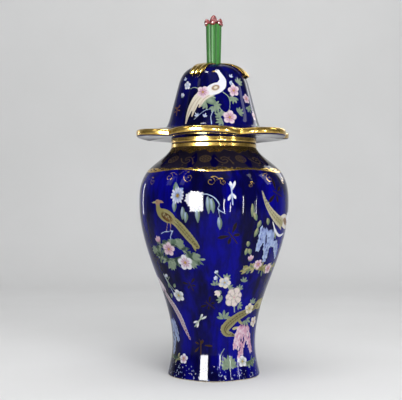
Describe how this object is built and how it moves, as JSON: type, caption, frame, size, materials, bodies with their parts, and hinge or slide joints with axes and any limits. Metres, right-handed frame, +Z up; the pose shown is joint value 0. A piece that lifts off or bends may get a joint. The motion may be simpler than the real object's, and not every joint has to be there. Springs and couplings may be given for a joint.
{
  "type": "covered ironstone vase",
  "caption": "Tall covered ironstone vase: lobed cobalt body on a spreading foot, gilt neck, and a lift-off domed lid with a wide lobed gilt brim and a fluted stem finial.",
  "frame": {"origin": "centre of the foot ring's underside, on the surface that the vase stands on", "axes": "+Z up along the vase's axis; -Y towards the painted front; +X to the right seen from the front"},
  "size_m": [0.282, 0.2894, 0.66],
  "materials": {
    "cobalt_glaze": "glossy cobalt blue glaze with painted enamels",
    "gilding": "burnished gilding over the glaze",
    "green_enamel": "glossy green enamel",
    "rose_enamel": "glossy rose enamel"
  },
  "bodies": {
    "root": {"vase_body": "cobalt_glaze", "lid": "cobalt_glaze"}
  },
  "joints": []
}
